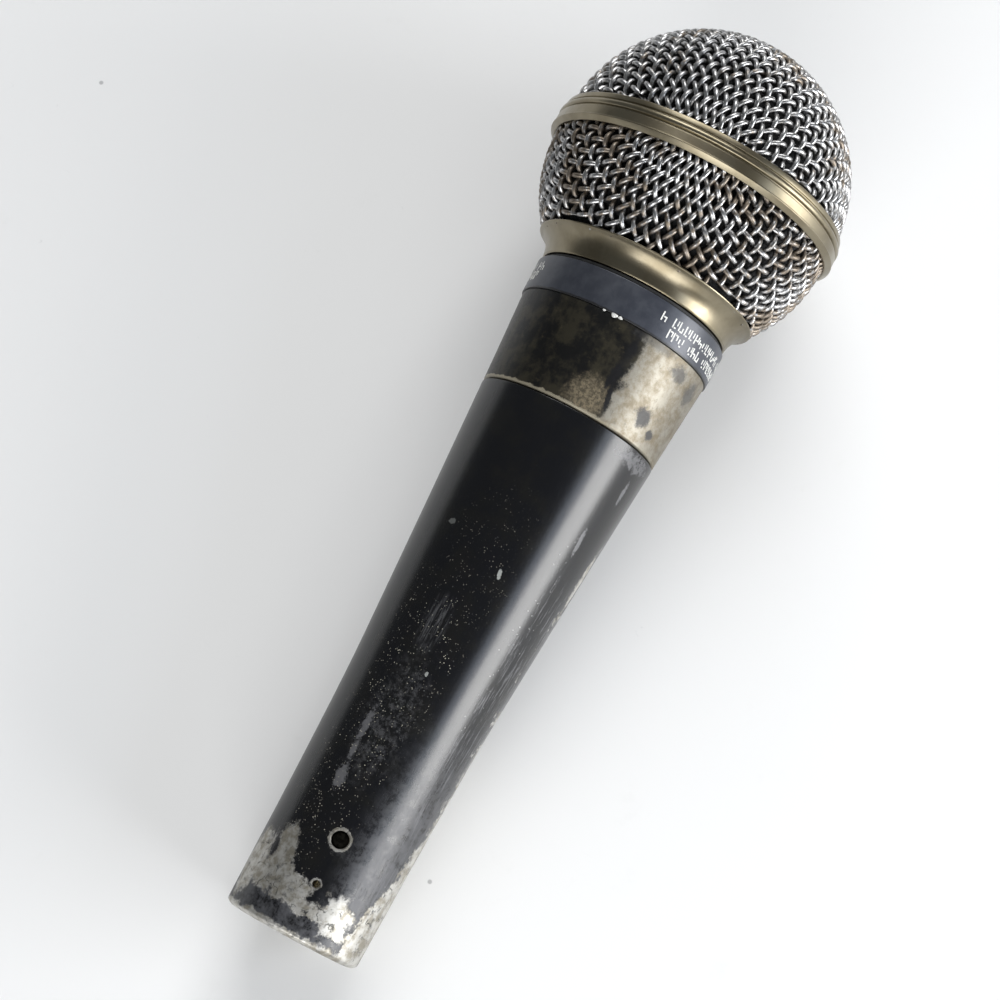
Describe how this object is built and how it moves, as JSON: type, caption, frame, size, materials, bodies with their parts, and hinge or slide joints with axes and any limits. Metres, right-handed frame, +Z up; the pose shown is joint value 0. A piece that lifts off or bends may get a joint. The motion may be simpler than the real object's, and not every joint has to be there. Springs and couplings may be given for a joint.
{
  "type": "dynamic microphone",
  "caption": "Handheld dynamic vocal microphone with a woven-wire ball grille, screwed head, sprung cartridge and a pin connector in its tapered metal handle.",
  "frame": {"origin": "on the table, under the middle of the microphone as it lies on its grille band and handle end", "axes": "+X along the microphone from the connector end to the ball grille, which rises about six degrees; +Z up, with the lock-screw hole near the top"},
  "size_m": [0.1626, 0.051, 0.051],
  "materials": {
    "black_enamel": "semi-gloss enamel on cast metal, scuffed, worn to bare metal near the connector end",
    "worn_housing": "dark enamel worn through to bare tan metal, mottled",
    "slate_band": "satin slate grey paint with small pale marks",
    "champagne_metal": "satin champagne plating",
    "grille_wire": "woven crimped wire, plated, tarnished brown in places",
    "core_steel": "plain ground steel",
    "cartridge_metal": "satin metal",
    "zinc_screw": "dull darkened plated screw",
    "plated_contact": "dull plated contact",
    "copper_wire": "lacquered copper winding",
    "black_plastic": "moulded black plastic",
    "tan_board": "pressed fibre board",
    "potting_wax": "cloudy potting compound",
    "diaphragm_film": "thin clear formed film",
    "black_lead": "insulated wire",
    "red_lead": "insulated wire",
    "green_lead": "insulated wire",
    "black_rubber": "matt moulded rubber",
    "black_foam": "open-cell foam"
  },
  "bodies": {
    "handle": {"handle_shell": "black_enamel", "connector_insert": "black_plastic", "connector_pin_1": "plated_contact", "connector_pin_2": "plated_contact", "connector_pin_3": "plated_contact", "ground_lug": "plated_contact", "transformer_core": "core_steel", "transformer_bobbin": "tan_board", "transformer_winding": "copper_wire", "potting_collar": "potting_wax", "output_lead_1": "black_lead", "output_lead_2": "black_lead", "output_lead_3": "black_lead", "input_lead_plus": "red_lead", "input_lead_minus": "green_lead"},
    "lock_screw": {"lock_screw": "zinc_screw"},
    "head_carriage": {"lead_sleeve": "black_lead"},
    "head": {"head_housing": "worn_housing", "label_band": "slate_band", "grille_gasket": "black_rubber", "mount_ring": "core_steel", "shock_mount": "black_rubber"},
    "cartridge": {"cartridge_body": "black_plastic", "cartridge_cap": "cartridge_metal", "cap_screen": "grille_wire", "side_port_screen": "grille_wire", "magnet_yoke": "core_steel", "magnet": "core_steel", "pole_piece": "core_steel", "rear_chamber": "cartridge_metal", "terminal_board": "tan_board", "terminal_plus": "plated_contact", "terminal_minus": "plated_contact", "cartridge_lead_plus": "red_lead", "cartridge_lead_minus": "green_lead"},
    "moving_coil": {"diaphragm": "diaphragm_film", "voice_coil": "copper_wire"},
    "grille_carriage": {"foam_liner_upper": "black_foam", "foam_liner_lower": "black_foam"},
    "grille": {"grille_collar": "champagne_metal", "grille_mesh_lower": "grille_wire", "grille_band": "champagne_metal", "grille_mesh_upper": "grille_wire"}
  },
  "joints": [
    {"name": "head_advance", "type": "slide", "parent": "handle", "child": "head_carriage", "axis": [0.9943, 0, 0.1062], "range_m": [0, 0.00397]},
    {"name": "head_turn", "type": "hinge", "parent": "head_carriage", "child": "head", "pos_m": [0.01058, 0, 0.02079], "axis": [0.9943, 0, 0.1062], "range_deg": [0, 1801]},
    {"name": "grille_advance", "type": "slide", "parent": "head", "child": "grille_carriage", "axis": [0.9943, 0, 0.1062], "range_m": [0, 0.00397]},
    {"name": "grille_turn", "type": "hinge", "parent": "grille_carriage", "child": "grille", "pos_m": [0.03315, 0, 0.0232], "axis": [0.9943, 0, 0.1062], "range_deg": [0, 1801]},
    {"name": "cartridge_float", "type": "slide", "parent": "head", "child": "cartridge", "axis": [0.9943, 0, 0.1062], "range_m": [-0.0008, 0.0008], "stiffness_N_per_m": 2200},
    {"name": "diaphragm_travel", "type": "slide", "parent": "cartridge", "child": "moving_coil", "axis": [0.9943, 0, 0.1062], "range_m": [-0.00025, 0.00025], "stiffness_N_per_m": 400},
    {"name": "lock_screw_turn", "type": "hinge", "parent": "handle", "child": "lock_screw", "pos_m": [-0.0638, 0, 0.01285], "axis": [-0.1056, -0.1045, 0.9889], "range_deg": [0, 720]}
  ],
  "couplings": [
    {"joint": "head_turn", "follows": "head_advance", "rad_per_m": 7913.3},
    {"joint": "grille_turn", "follows": "grille_advance", "rad_per_m": 7913.3}
  ]
}
